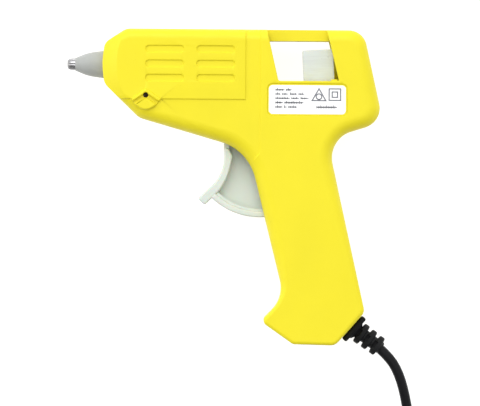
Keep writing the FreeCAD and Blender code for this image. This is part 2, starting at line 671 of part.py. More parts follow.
def gripper():
    """Carriage that tilts on the stick and pushes it forward; two ears under it hold its pin."""
    length, over, under, half = GRIPPER_SIZE
    u, v = GRIPPER_CENTRE
    block = box(u - length / 2, u + length / 2, v - under, v + over, -half, half)
    block = block.makeFillet(0.5, [edge for edge in block.Edges if edge.BoundBox.XLength < 0.01
                                   and edge.BoundBox.YLength < 0.01])
    block = block.cut(along(u - length, u + length, BORE_R))
    block.rotate(V(u, v, 0), V(0, 0, 1), GRIPPER_TILT)
    near, far = EAR_HALF
    pieces = [block]
    for side in (1, -1):
        w0, w1 = sorted((near * side, far * side))
        ear = fused([box(GRIPPER_PIN[0] - 3.5, GRIPPER_PIN[0] + 3.5, GRIPPER_PIN[1], v - 5.0, w0, w1),
                     across(GRIPPER_PIN, 3.5, w0, w1)])
        w0, w1 = sorted((near * side, (half + 0.25) * side))
        pad = across(GRIPPER_PIN, 4.1, w0, w1).common(box(70, 95, -6.3, 0, -10, 10))
        pieces += [ear, pad]
    body = fused(pieces)
    body = body.cut(box(u - 10, u + 10, -20, -5.0, -near, near))
    body = body.cut(along(u - length, u + length, BORE_R - 0.4))
    return body.cut(across(GRIPPER_PIN, PIN_R, -10, 10))


def gripper_pin():
    return across(GRIPPER_PIN, PIN_R, -EAR_HALF[1], EAR_HALF[1])


def spring_peg():
    """Place of the peg on the trigger's arm that the spring pushes back."""
    return (PIVOT[0] + 0.2, PIVOT[1] + 10.0)


def return_spring():
    """Torsion spring round the right shell's pivot boss, one leg on the trigger's peg, one on the shell's post."""
    corners_per_turn = 8
    half_step = math.pi / corners_per_turn
    corner_r = SPRING_R / math.cos(half_step)
    top = -HUB_HALF - 0.8
    start_w = top - SPRING_TURNS * SPRING_PITCH
    points = [V(PIVOT[0] + SPRING_R, PIVOT[1] + SPRING_LEG, start_w)]
    for i in range(int(SPRING_TURNS * corners_per_turn)):
        angle = -(2 * i + 1) * half_step
        w = start_w + SPRING_PITCH * (i + 0.5) / corners_per_turn
        points.append(V(PIVOT[0] + corner_r * math.cos(angle), PIVOT[1] + corner_r * math.sin(angle), w))
    peg = spring_peg()
    points.append(V(peg[0] - SPRING_PEG_R - SPRING_WIRE_R - 0.05, peg[1] + 1.0, top))
    return tube(points, SPRING_WIRE_R)[0]


# ---------------------------------------------------------------- wiring and cord
def exit_point(distance, w=0.0):
    """Point on the cord's axis, measured out from the handle's facet."""
    return V(CORD_EXIT[0], CORD_EXIT[1], w) + CORD_DIRECTION * distance


def lead_wires():
    """Two insulated leads from the cord's inner end, up the handle, to the heater."""
    wires = []
    for side, tab_v in ((1, HEATER_SLOT[1] - 0.45), (-1, HEATER_SLOT[0] + 0.45)):
        points = [V(38.4, tab_v, 3.0 * side), V(43.0, tab_v, 3.0 * side), V(50.0, -18.0, 8.2 * side),
                  V(63.0, -20.0, 8.6 * side), V(70.5, -31.0, 8.4 * side), V(76.5, -48.0, 8.2 * side),
                  V(79.5, -66.0, 7.0 * side), V(80.0, -80.0, 3.0 * side), exit_point(-19.0, 0.95 * side),
                  exit_point(-CORD_INNER_END, 0.95 * side)]
        wires.append(tube(points, 0.8)[0])
    return Part.makeCompound(wires)


def wire_crimps():
    """Crimp barrels on the heater's tabs."""
    crimps = []
    for side, tab_v in ((1, HEATER_SLOT[1] - 0.45), (-1, HEATER_SLOT[0] + 0.45)):
        barrel = along(34.6, 38.4, 1.5, tab_v, 3.0 * side)
        crimps.append(barrel.cut(box(34, 36.8, tab_v - 0.15, tab_v + 0.15, 3.0 * side - 1, 3.0 * side + 1)))
    return Part.makeCompound(crimps)


def cord_clamp():
    """Bar that clamps the cord inside the handle."""
    bar = box(-2.5, 2.5, -8.0, 8.0, CORD_R, CORD_R + 2.5)
    for v in (-5.5, 5.5):
        bar = bar.cut(across((0, v), 1.0, 0, 10))
    bar.rotate(V(0, 0, 0), V(0, 0, 1), -math.degrees(math.atan2(0.592, 0.806)))
    bar.translate(exit_point(-9.0))
    return bar


def clamp_screws():
    screws = []
    for centre in clamp_places():
        place_of = (centre.x, centre.y)
        screws.append(fused([across(place_of, 0.9, -6.0, CORD_R + 2.5),
                             across(place_of, 2.0, CORD_R + 2.5, CORD_R + 3.9)]))
    return Part.makeCompound(screws)


def strain_relief():
    """Ribbed relief: an outer flange on the facet, a neck through the wall, and three flexing ribs."""
    base = V(CORD_EXIT[0], CORD_EXIT[1], 0)
    flange = box(0.0, 2.0, -5.6, 5.6, -4.6, 4.6)
    flange = flange.makeFillet(0.8, [edge for edge in flange.Edges if edge.BoundBox.XMin > 1.9])
    flange.rotate(V(0, 0, 0), V(0, 0, 1), math.degrees(math.atan2(FACET_NORMAL.y, FACET_NORMAL.x)))
    flange.translate(base + FACET_NORMAL * 0.2)
    pieces = [flange,
              Part.makeCylinder(3.4, 4.4, base - FACET_NORMAL * 3.0, FACET_NORMAL),
              Part.makeCylinder(4.6, 1.5, base - FACET_NORMAL * 3.9, FACET_NORMAL),
              Part.makeCone(3.3, 2.6, RELIEF_END - 0.5, exit_point(0.5), CORD_DIRECTION)]
    for distance, radius in RELIEF_RIBS:
        pieces.append(Part.makeCylinder(radius, 2.0, exit_point(distance - 1.0), CORD_DIRECTION))
    body = fused(pieces)
    return body.cut(Part.makeCylinder(CORD_R, 40, exit_point(-20), CORD_DIRECTION))


def cord_inner_end():
    """Stretch of the cord inside the handle, from the clamp to the relief."""
    start = exit_point(-CORD_INNER_END)
    return Part.makeCylinder(CORD_R, CORD_INNER_END + 5.5, start, CORD_DIRECTION)


def cord_route():
    """The free cord's corner points from inside the relief to the coil."""
    start = exit_point(5.5)
    return [start, V(108.4, -108.3, 0.0), V(114.0, -117.2, -1.3), V(117.3, -134.0, -6.2),
            V(118.9, -150.5, -11.2), V(118.5, COIL_CENTRE[1], FLOOR + CORD_R + 0.1)]


def tail_route():
    """Corner points of the cord's last stretch, from the coil to the plug."""
    top = FLOOR + 3 * CORD_R + 0.1
    leaves = polar(COIL_RADII[-1], TAIL_ANGLE, COIL_CENTRE)
    return [V(*leaves, top), V(68.5, -191.4, top + 0.4), V(61.6, -190.0, top + 1.2), V(*PLUG_END, PLUG_AXIS_W)]


def cord():
    solid, radii, length = tube(cord_route(), CORD_R)
    report_tube("cord", solid, radii, length)
    return solid


def cord_tail():
    solid, radii, length = tube(tail_route(), CORD_R)
    report_tube("cord tail", solid, radii, length)
    return solid


def plug_body():
    """Moulded two-pin plug with its own tapered relief; its axis runs towards the gun's front."""
    relief_length, relief_start, relief_end = PLUG_RELIEF
    length, width, height = PLUG_BODY
    end = V(PLUG_END[0], PLUG_END[1], PLUG_AXIS_W)
    relief = Part.makeCone(relief_start, relief_end, relief_length + 1, end, V(-1, 0, 0))
    back = end.x - relief_length
    body = box(back - length, back, end.y - width / 2, end.y + width / 2, FLOOR, FLOOR + height)
    lengthwise = [edge for edge in body.Edges if edge.BoundBox.XLength > length / 2]
    body = body.makeFillet(5.0, lengthwise)
    rear_edges = [edge for edge in body.Edges if edge.BoundBox.XMin > back - 0.01]
    body = body.makeFillet(3.5, rear_edges)
    return fused([relief, body])


def plug_pins():
    """Two flat pins that lean to each other."""
    length, width, thickness, offset, lean = PLUG_PIN
    face = PLUG_END[0] - PLUG_RELIEF[0] - PLUG_BODY[0]
    pins = []
    for side in (1, -1):
        pin = box(face - length, face, -width / 2, width / 2, -thickness / 2, thickness / 2)
        tip = [edge for edge in pin.Edges if edge.BoundBox.XMax < face - length + 0.01]
        pin = pin.makeChamfer(0.5, tip)
        pin.rotate(V(0, 0, 0), V(1, 0, 0), 90 + lean * side)
        pin.translate(V(0, PLUG_END[1] + offset * side, PLUG_AXIS_W))
        pins.append(pin)
    return Part.makeCompound(pins)


def report_tube(name, solid, radii, length):
    section = math.pi * CORD_R ** 2
    print(name, "length", round(length, 1), "bend radii", radii,
          "volume over section times length", round(solid.Volume / (section * length), 4))


def cord_coil():
    """Outer form of the wound cord: a ring on the surface."""
    centre = V(COIL_CENTRE[0], COIL_CENTRE[1], FLOOR)
    height = COIL_LAYERS * 2 * CORD_R + 0.2
    outer = Part.makeCylinder(COIL_RADII[-1] + CORD_R, height, centre)
    return outer.cut(Part.makeCylinder(COIL_RADII[0] - CORD_R, height, centre))


NODES = {
    "left_housing": lambda: half_shell(1),
    "right_housing": lambda: half_shell(-1),
    "housing_screws": housing_screws,
    "rating_label": rating_label,
    "nozzle_tip": nozzle_tip,
    "nozzle_sleeve": nozzle_sleeve,
    "melt_chamber": melt_chamber,
    "ptc_heater": ptc_heater,
    "heater_electrodes": heater_electrodes,
    "heater_insulation": heater_insulation,
    "heater_clip": heater_clip,
    "inlet_sleeve": inlet_sleeve,
    "inlet_clamp": inlet_clamp,
    "trigger": trigger,
    "trigger_pin": trigger_pin,
    "link_pin": link_pin,
    "drive_link": drive_link,
    "gripper": gripper,
    "gripper_pin": gripper_pin,
    "return_spring": return_spring,
    "lead_wires": lead_wires,
    "wire_crimps": wire_crimps,
    "cord_clamp": cord_clamp,
    "clamp_screws": clamp_screws,
    "strain_relief": strain_relief,
    "cord_inner_end": cord_inner_end,
    "cord": cord,
    "cord_coil": cord_coil,
    "cord_tail": cord_tail,
    "plug_body": plug_body,
    "plug_pins": plug_pins,
}


def build():
    """All nodes in the part's frame."""
    return {name: place(make()) for name, make in NODES.items()}


def main():
    os.makedirs("parts", exist_ok=True)
    for name, shape in build().items():
        shape.exportStep("parts/" + name + ".step")
        extent = shape.BoundBox
        print(name, "solids", len(shape.Solids), "valid", shape.isValid(), "volume", round(shape.Volume, 1),
              "from", [round(c, 2) for c in (extent.XMin, extent.YMin, extent.ZMin)],
              "to", [round(c, 2) for c in (extent.XMax, extent.YMax, extent.ZMax)])


if __name__ == "__main__":
    main()
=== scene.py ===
"""Looks of a small glue gun: finishes, softened edges, cord, plug, small pieces and stage."""
import math

import bmesh
import bpy
from bpy.props import FloatProperty, FloatVectorProperty, IntProperty, PointerProperty
from mathutils import Matrix, Vector
from mathutils.bvhtree import BVHTree


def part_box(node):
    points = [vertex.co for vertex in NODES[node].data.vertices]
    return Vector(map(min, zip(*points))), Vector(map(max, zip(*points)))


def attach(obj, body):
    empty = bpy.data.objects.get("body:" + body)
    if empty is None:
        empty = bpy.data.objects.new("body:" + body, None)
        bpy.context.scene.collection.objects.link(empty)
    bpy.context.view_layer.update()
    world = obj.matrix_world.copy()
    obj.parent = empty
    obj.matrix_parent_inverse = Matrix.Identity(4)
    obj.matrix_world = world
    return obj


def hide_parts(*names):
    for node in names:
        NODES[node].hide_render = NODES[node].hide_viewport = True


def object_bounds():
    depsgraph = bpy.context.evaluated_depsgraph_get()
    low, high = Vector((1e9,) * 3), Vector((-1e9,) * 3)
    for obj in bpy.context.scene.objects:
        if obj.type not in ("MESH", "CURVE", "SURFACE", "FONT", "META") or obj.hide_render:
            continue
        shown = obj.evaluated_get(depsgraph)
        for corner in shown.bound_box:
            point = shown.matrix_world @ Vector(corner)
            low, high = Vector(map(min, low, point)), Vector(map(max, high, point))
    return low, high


bl_info = {
    "name": "Glue gun",
    "version": (1, 0, 0),
    "blender": (4, 5, 0),
    "location": "3D View > Sidebar > Glue gun",
    "description": "Finishes, cord, plug and small pieces of a glue gun, round its CAD frame",
    "category": "Object",
}

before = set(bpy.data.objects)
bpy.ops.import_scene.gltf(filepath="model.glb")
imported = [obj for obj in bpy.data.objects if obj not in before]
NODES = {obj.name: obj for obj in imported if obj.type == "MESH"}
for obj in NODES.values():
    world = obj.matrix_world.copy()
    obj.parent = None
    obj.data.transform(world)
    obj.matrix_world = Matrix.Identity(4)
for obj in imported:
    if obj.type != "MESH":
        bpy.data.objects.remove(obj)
CAD_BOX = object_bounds()
MM = 0.001
BACK = Vector((1, 0, 0))            # towards the gun's rear
TOP = Vector((0, 1, 0))             # towards its top edge
UP = Vector((0, 0, 1))              # away from the floor: out of the left side face
MIDDLE = Vector((6.64 * MM, -6.07 * MM, 13.9 * MM))

MERGE = 0.001 * MM                  # vertices nearer than this are one
FLAT = math.radians(0.3)            # turn below which faces lie in one plane
HARD = math.radians(32.0)           # turn past which an edge of a side face is rounded
SHARP = math.radians(50.0)          # turn past which an edge that stays hard is shaded sharp
SIDE_FACE = 12.2 * MM               # height over the joint plane where the side faces' edges begin

# The free cord's corner points, from inside the relief to the coil, then on to the plug.
CORD_ROUTE = [(0.053843, -0.055911, 0.0139), (0.06234, -0.062145, 0.0139),
              (0.06824, -0.071045, 0.0126), (0.07184, -0.087845, 0.0077),
              (0.07304, -0.104345, 0.0027)]
TAIL_ROUTE = [(0.02244, -0.145245, 0.0062), (0.01554, -0.143845, 0.0070),
              (0.00854, -0.143745, 0.0080)]
COIL_CENTRE = Vector((0.04174, -0.120345, 0.0020))
COIL_OUTSIDE = 30.7 * MM            # radius of the coil's largest turn, at the cord's middle
COIL_PITCH = 3.8 * MM               # from one turn's middle to the next one's
CORD_DIRECTION = Vector((0.806, -0.592, 0.0)).normalized()
FACET_NORMAL = Vector((0.7464, -0.6655, 0.0)).normalized()
RELIEF_FOOT = Vector((0.04941, -0.052655, 0.0139))
# The relief's ribs: distance out from the facet and radius, in millimetres.
RELIEF_RIBS = ((4.65, 4.15), (8.24, 4.05), (11.97, 3.9))
RELIEF_POCKETS = (3.55, 7.3, 10.95)


# ---------------------------------------------------------------- settings
class ShellSettings(bpy.types.PropertyGroup):
    colour: FloatVectorProperty(
        name="Colour", description="Colour of the moulded shells",
        subtype="COLOR", size=3, min=0, max=1, default=(0.77, 0.665, 0.013))
    grain: FloatProperty(
        name="Grain", description="Depth of the moulded surface's fine grain",
        unit="LENGTH", default=0.02 * MM, min=0, precision=6)
    edge: FloatProperty(
        name="Edge", description="Rounding of the hard edges on the shells' side faces",
        unit="LENGTH", default=0.24 * MM, min=0, precision=6)


class TriggerSettings(bpy.types.PropertyGroup):
    colour: FloatVectorProperty(
        name="Colour", description="Colour of the trigger's nylon",
        subtype="COLOR", size=3, min=0, max=1, default=(0.625, 0.675, 0.615))


class CordSettings(bpy.types.PropertyGroup):
    colour: FloatVectorProperty(
        name="Colour", description="Colour of the cord's jacket",
        subtype="COLOR", size=3, min=0, max=1, default=(0.0055, 0.0055, 0.0065))
    diameter: FloatProperty(
        name="Diameter", description="The cord's diameter",
        unit="LENGTH", default=3.8 * MM, min=1 * MM, precision=5)
    length: FloatProperty(
        name="Length", description="The free cord's real length",
        unit="LENGTH", default=1.24, min=0.2)
    points_per_turn: IntProperty(
        name="Points a turn", description="Control points in each turn of the coil",
        default=16, min=12)


class NozzleSettings(bpy.types.PropertyGroup):
    flutes: IntProperty(
        name="Flutes", description="Lengthwise grooves round the metal tip",
        default=8, min=3)
    flute_depth: FloatProperty(
        name="Flute depth", description="Depth of each groove",
        unit="LENGTH", default=0.22 * MM, min=0, precision=6)


class StageSettings(bpy.types.PropertyGroup):
    frame_width: FloatProperty(
        name="Frame width", description="Width that the camera sees",
        unit="LENGTH", default=182.4 * MM)
    distance: FloatProperty(
        name="Distance", description="Camera to the gun's middle",
        unit="LENGTH", default=2.5)
    roll: FloatProperty(
        name="Roll", description="Turn of the camera about its own axis",
        unit="ROTATION", default=math.radians(0.45))
    key: FloatProperty(
        name="Key", description="Power of the key light",
        unit="POWER", default=9.5, min=0)
    ambient: FloatProperty(
        name="Ambient", description="Strength of the even light all round",
        default=1.19, min=0)
    floor_glow: FloatProperty(
        name="Floor glow", description="Own light of the white floor",
        default=0.87, min=0)


class GlueGunSettings(bpy.types.PropertyGroup):
    shell: PointerProperty(type=ShellSettings)
    trigger: PointerProperty(type=TriggerSettings)
    cord: PointerProperty(type=CordSettings)
    nozzle: PointerProperty(type=NozzleSettings)
    stage: PointerProperty(type=StageSettings)


def settings():
    return bpy.context.scene.glue_gun


# ---------------------------------------------------------------- material parts
class Finish:
    """A procedural material on object coordinates, built up from a Principled shader."""

    def __init__(self, name, colour, roughness, **sockets):
        self.material = bpy.data.materials.new(name)
        self.material.use_nodes = True
        self.tree = self.material.node_tree
        self.shader = self.tree.nodes["Principled BSDF"]
        self.colour = colour
        self.shader.inputs["Base Color"].default_value = (*colour, 1)
        self.shader.inputs["Roughness"].default_value = roughness
        for socket, value in sockets.items():
            self.shader.inputs[socket.replace("_", " ")].default_value = value
        self.place = self.add("ShaderNodeTexCoord").outputs["Object"]
        self.bump = None

    def add(self, kind, **values):
        node = self.tree.nodes.new(kind)
        for name, value in values.items():
            setattr(node, name, value)
        return node

    def join(self, a, b):
        self.tree.links.new(a, b)

    def stretched(self, scale, turn=(0, 0, 0), centre=(0, 0, 0)):
        """Object coordinates about a centre, turned and scaled."""
        node = self.add("ShaderNodeMapping", vector_type="TEXTURE")
        node.inputs["Location"].default_value = centre
        node.inputs["Rotation"].default_value = turn
        node.inputs["Scale"].default_value = [1 / s for s in scale]
        self.join(self.place, node.inputs["Vector"])
        return node.outputs["Vector"]

    def noise(self, size, detail=2.0, vector=None):
        """Noise whose features are about that size in metres."""
        node = self.add("ShaderNodeTexNoise")
        node.inputs["Scale"].default_value = 1 / size
        node.inputs["Detail"].default_value = detail
        self.join(vector or self.place, node.inputs["Vector"])
        return node.outputs["Fac"]

    def ranged(self, value, low, high, start=0.3, end=0.7):
        node = self.add("ShaderNodeMapRange")
        for name, number in (("From Min", start), ("From Max", end), ("To Min", low),
                             ("To Max", high)):
            node.inputs[name].default_value = number
        self.join(value, node.inputs["Value"])
        return node.outputs["Result"]

    def tone(self, value, other, start=0.3, end=0.7):
        """Colour that goes from the base colour to another one with a value."""
        node = self.add("ShaderNodeMix", data_type="RGBA")
        node.inputs["A"].default_value = (*self.colour, 1)
        if self.shader.inputs["Base Color"].is_linked:
            self.join(self.shader.inputs["Base Color"].links[0].from_socket, node.inputs["A"])
        node.inputs["B"].default_value = (*other, 1)
        self.join(self.ranged(value, 0, 1, start, end), node.inputs["Factor"])
        self.join(node.outputs["Result"], self.shader.inputs["Base Color"])

    def rough(self, value, low, high):
        self.join(self.ranged(value, low, high), self.shader.inputs["Roughness"])

    def relief(self, value, depth, strength=1.0):
        """Fine height, in metres, on top of any height that the material has already."""
        node = self.add("ShaderNodeBump")
        node.inputs["Strength"].default_value = strength
        node.inputs["Distance"].default_value = depth
        self.join(value, node.inputs["Height"])
        if self.bump:
            self.join(self.bump, node.inputs["Normal"])
        self.bump = node.outputs["Normal"]
        self.join(self.bump, self.shader.inputs["Normal"])


def scaled(colour, factor):
    """Lighter or darker colour."""
    return tuple(min(1.0, channel * factor) for channel in colour)


# ---------------------------------------------------------------- materials
def shell_plastic():
    """Satin moulded ABS: fine spark-eroded grain, faint flow clouds and rubbed patches."""
    chosen = settings().shell
    finish = Finish("yellow_abs", tuple(chosen.colour), 0.5, Specular_IOR_Level=0.3)
    clouds = finish.noise(18 * MM, 3)
    finish.tone(clouds, scaled(chosen.colour, 0.965))
    specks = finish.noise(1.1 * MM, 4)
    finish.tone(specks, scaled(chosen.colour, 0.93), 0.66, 0.8)
    finish.rough(finish.noise(6 * MM, 4), 0.44, 0.56)
    finish.relief(finish.noise(0.35 * MM, 3), chosen.grain, 0.8)
    finish.relief(finish.noise(12 * MM, 2), 0.05 * MM, 0.4)
    return finish.material


def trigger_nylon():
    """Pale moulded nylon, a little translucent."""
    colour = tuple(settings().trigger.colour)
    finish = Finish("trigger_nylon", colour, 0.38, Subsurface_Weight=0.25,
                    Subsurface_Scale=1.2 * MM, Specular_IOR_Level=0.45)
    finish.tone(finish.noise(9 * MM, 3), scaled(colour, 0.95))
    finish.rough(finish.noise(4 * MM, 3), 0.34, 0.46)
    finish.relief(finish.noise(0.5 * MM, 3), 0.02 * MM, 0.5)
    return finish.material


def gripper_nylon():
    """Unpigmented nylon with flow lines, milky and warm at its edges."""
    finish = Finish("natural_nylon", (0.66, 0.715, 0.715), 0.32, Subsurface_Weight=0.55,
                    Subsurface_Scale=2.5 * MM, Transmission_Weight=0.05, IOR=1.5)
    finish.shader.inputs["Subsurface Radius"].default_value = (1.0, 0.8, 0.55)
    lines = finish.noise(2.0 * MM, 3, finish.stretched((0.25, 2.5, 1)))
    finish.tone(lines, (0.61, 0.655, 0.655))
    finish.rough(finish.noise(3 * MM, 2), 0.26, 0.4)
    finish.relief(lines, 0.03 * MM, 0.4)
    return finish.material


def grey_silicone():
    """Matt grey silicone with a dusty bloom."""
    finish = Finish("grey_silicone", (0.355, 0.37, 0.36), 0.62, Sheen_Weight=0.25,
                    Sheen_Roughness=0.5)
    finish.tone(finish.noise(5 * MM, 4), (0.325, 0.335, 0.32))
    finish.tone(finish.noise(0.8 * MM, 3), (0.38, 0.39, 0.375), 0.62, 0.8)
    finish.rough(finish.noise(2 * MM, 3), 0.55, 0.7)
    finish.relief(finish.noise(0.3 * MM, 2), 0.015 * MM, 0.6)
    return finish.material


def nozzle_metal():
    """Plated steel with turning rings and heat stain."""
    finish = Finish("nozzle_metal", (0.36, 0.36, 0.37), 0.26, Metallic=1.0)
    rings = finish.noise(0.9 * MM, 2, finish.stretched((9, 0.6, 0.6)))
    finish.rough(rings, 0.18, 0.36)
    finish.tone(finish.noise(3 * MM, 4), (0.30, 0.29, 0.28), 0.4, 0.75)
    finish.relief(rings, 0.012 * MM, 0.6)
    return finish.material


def turned_steel(name, colour, size=1.5):
    finish = Finish(name, colour, 0.3, Metallic=1.0)
    streaks = finish.noise(size * MM, 3, finish.stretched((1, 1, 6)))
    finish.rough(streaks, 0.22, 0.42)
    finish.tone(finish.noise(2 * MM, 3), scaled(colour, 0.82))
    finish.relief(streaks, 0.01 * MM, 0.5)
    return finish.material


def cast_aluminium():
    """Die-cast aluminium, painted dark brown as painted shade, for where it shows deep in the hole
    of the stand boss.
    """
    finish = Finish("cast_aluminium", (0.20, 0.15, 0.12), 0.5, Metallic=0.85)
    pits = finish.noise(0.7 * MM, 4)
    finish.rough(pits, 0.38, 0.6)
    # Darker blotches on the dark brown, also painted shade.
    finish.tone(finish.noise(6 * MM, 3), (0.11, 0.075, 0.055))
    finish.relief(pits, 0.05 * MM, 0.7)
    return finish.material


def moulded(name, colour, roughness=0.45, size=1.2, **sockets):
    """Plain moulded or pressed finish for the small pieces."""
    finish = Finish(name, colour, roughness, **sockets)
    fine = finish.noise(size * MM, 3)
    finish.rough(fine, roughness - 0.06, roughness + 0.08)
    finish.tone(finish.noise(5 * size * MM, 3), scaled(colour, 0.85))
    finish.relief(fine, 0.02 * MM, 0.5)
    return finish.material


def cord_jacket():
    """Black PVC jacket: satin, with faint lengthwise drawing and dull patches."""
    colour = tuple(settings().cord.colour)
    finish = Finish("cord_pvc", colour, 0.4, Specular_IOR_Level=0.14)
    finish.tone(finish.noise(7 * MM, 3), scaled(colour, 1.5))
    finish.rough(finish.noise(3 * MM, 4), 0.34, 0.5)
    finish.relief(finish.noise(0.6 * MM, 3), 0.02 * MM, 0.5)
    return finish.material


def relief_rubber():
    """Matt black flexible PVC of the relief and the plug."""
    finish = Finish("relief_pvc", (0.0085, 0.0088, 0.0095), 0.56, Specular_IOR_Level=0.12)
    finish.tone(finish.noise(4 * MM, 3), (0.013, 0.0135, 0.0145))
    finish.rough(finish.noise(1.5 * MM, 3), 0.48, 0.66)
    finish.relief(finish.noise(0.4 * MM, 3), 0.03 * MM, 0.6)
    return finish.material


def label_film():
    finish = Finish("label_film", (0.93, 0.93, 0.93), 0.32, Coat_Weight=0.3, Coat_Roughness=0.2)
    finish.tone(finish.noise(6 * MM, 2), (0.90, 0.90, 0.895))
    finish.rough(finish.noise(2 * MM, 3), 0.26, 0.38)
    finish.relief(finish.noise(4 * MM, 2), 0.01 * MM, 0.4)
    return finish.material


def label_ink():
    finish = Finish("label_ink", (0.11, 0.115, 0.14), 0.5)
    finish.tone(finish.noise(0.5 * MM, 3), (0.20, 0.21, 0.24))
    finish.relief(finish.noise(0.3 * MM, 2), 0.003 * MM, 0.3)
    return finish.material


# ---------------------------------------------------------------- mesh parts
def mm(*sizes):
    """Sizes in millimetres, turned to metres."""
    return tuple(size * MM for size in sizes)


def linked(name, data):
    """New object in the scene."""
    item = bpy.data.objects.new(name, data)
    bpy.context.scene.collection.objects.link(item)
    return item


def new_piece(name, mesh, material, body, replaced=()):
    """Put a finished mesh in the scene as a piece that rides on a body."""
    piece = linked(name, mesh)
    mesh.materials.clear()
    mesh.materials.append(material)
    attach(piece, body)
    if replaced:
        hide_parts(*replaced)
    return piece


def give(node, material):
    """Finish a CAD node that keeps its own shape."""
    mesh = NODES[node].data
    for i in range(len(mesh.materials)):
        mesh.materials[i] = material


def mesh_from(work, name, smooth_angle=35.0):
    """Mesh from a bmesh, shaded smooth but for its hard edges."""
    bmesh.ops.recalc_face_normals(work, faces=work.faces)
    mesh = bpy.data.meshes.new(name)
    work.to_mesh(mesh)
    work.free()
    for polygon in mesh.polygons:
        polygon.use_smooth = True
    mesh.set_sharp_from_angle(angle=math.radians(smooth_angle))
    return mesh


def finished_mesh(piece):
    """The mesh that an object's modifiers make; the object is removed."""
    depsgraph = bpy.context.evaluated_depsgraph_get()
    mesh = bpy.data.meshes.new_from_object(piece.evaluated_get(depsgraph))
    bpy.data.objects.remove(piece)
    return mesh


def carved(mesh, cutters):
    """The mesh less the space inside each of the cutting meshes."""
    body = linked("body", mesh)
    blocks = [linked("cutter", cutter) for cutter in cutters]
    for shape in blocks:
        cut = body.modifiers.new("cut", "BOOLEAN")
        cut.object = shape
        cut.solver = "EXACT"
    result = finished_mesh(body)
    for shape in blocks:
        bpy.data.objects.remove(shape)
    return result


def softened(node, width):
    """Copy of a CAD node's mesh with the hard edges of its side faces rounded."""
    mesh = NODES[node].data.copy()
    work = bmesh.new()
    work.from_mesh(mesh)
    bmesh.ops.remove_doubles(work, verts=work.verts, dist=MERGE)
    bmesh.ops.dissolve_limit(work, angle_limit=FLAT, verts=work.verts, edges=work.edges)
    bmesh.ops.triangulate(work, faces=[face for face in work.faces if len(face.verts) > 4])
    surface = BVHTree.FromBMesh(work)
    joint = (CAD_BOX[0].z + CAD_BOX[1].z) / 2
    weights = work.edges.layers.float.new("bevel_weight_edge")
    for edge in work.edges:
        height = (edge.verts[0].co.z + edge.verts[1].co.z) / 2 - joint
        if abs(height) > SIDE_FACE and len(edge.link_faces) == 2 and edge.calc_face_angle() > HARD:
            edge[weights] = 1.0
    work.to_mesh(mesh)
    work.free()
    if "custom_normal" in mesh.attributes:
        mesh.attributes.remove(mesh.attributes["custom_normal"])
    for polygon in mesh.polygons:
        polygon.use_smooth = True
    piece = linked("softened", mesh)
    bevel = piece.modifiers.new("edges", "BEVEL")
    bevel.width = width
    bevel.segments = 2
    bevel.limit_method = "WEIGHT"
    bevel.use_clamp_overlap = False
    bevel.loop_slide = False
    mesh = finished_mesh(piece)
    # A corner that the rounding threw further than this off the old surface goes back to it.
    stray = 0.6 * width
    for vertex in mesh.vertices:
        place, _, _, distance = surface.find_nearest(vertex.co)
        if distance > stray:
            vertex.co = place
    mesh.set_sharp_from_angle(angle=SHARP)
    piece = linked("softened", mesh)
    normals = piece.modifiers.new("normals", "WEIGHTED_NORMAL")
    normals.keep_sharp = True
    normals.mode = "FACE_AREA_WITH_ANGLE"
    normals.weight = 80
    return finished_mesh(piece)


def join_rings(work, rings):
    """Faces from each ring of vertices to the next; a ring of one vertex closes an end."""
    for first, second in zip(rings, rings[1:]):
        count = max(len(first), len(second))
        for i in range(count):
            j = (i + 1) % count
            if len(first) == 1:
                corners = (first[0], second[j], second[i])
            elif len(second) == 1:
                corners = (first[i], first[j], second[0])
            else:
                corners = (first[i], first[j], second[j], second[i])
            work.faces.new(corners)


def lathe(profile, origin, direction, side, steps, radius_at=None):
    """Closed surface turned about a direction; the profile is (distance along, radius)."""
    other = direction.cross(side)
    work = bmesh.new()
    rings = []
    for distance, radius in profile:
        centre = origin + direction * distance
        if radius == 0.0:
            rings.append([work.verts.new(centre)])
            continue
        ring = []
        for i in range(steps):
            angle = 2 * math.pi * i / steps
            r = radius_at(distance, radius, angle) if radius_at else radius
            ring.append(work.verts.new(centre + side * (r * math.cos(angle))
                                       + other * (r * math.sin(angle))))
        rings.append(ring)
    join_rings(work, rings)
    return work


def loft(sections, across, power, steps=64):
    """Closed surface through super-elliptic sections: (centre, half width, half height)."""
    work = bmesh.new()
    rings = []
    for centre, half_width, half_height in sections:
        ring = []
        for i in range(steps):
            angle = 2 * math.pi * i / steps
            c, s = math.cos(angle), math.sin(angle)
            x = math.copysign(abs(c) ** (2 / power), c) * half_width
            z = math.copysign(abs(s) ** (2 / power), s) * half_height
            ring.append(work.verts.new(Vector(centre) + across * x + UP * z))
        rings.append(ring)
    join_rings(work, rings)
    work.faces.new(rings[0])
    work.faces.new(list(reversed(rings[-1])))
    return work


def rounded_box(size, edge, segments=2):
    """Box about its middle with rounded edges, as a bmesh."""
    work = bmesh.new()
    bmesh.ops.create_cube(work, size=1.0, matrix=Matrix.Diagonal((*size, 1)))
    bmesh.ops.bevel(work, geom=work.edges[:], offset=edge, segments=segments, affect="EDGES",
                    profile=0.5)
    return work


def moved(work, matrix):
    bmesh.ops.transform(work, matrix=matrix, verts=work.verts)
    return work


def add_to(work, other):
    """Copy another bmesh's faces into this one and free the other."""
    holder = bpy.data.meshes.new("holder")
    other.to_mesh(holder)
    other.free()
    work.from_mesh(holder)
    bpy.data.meshes.remove(holder)


def turned_to(along, across, origin):
    """Matrix whose X axis runs along and whose Y axis runs across, at the origin."""
    turn = Matrix((along, across, along.cross(across))).transposed().to_4x4()
    return Matrix.Translation(origin) @ turn


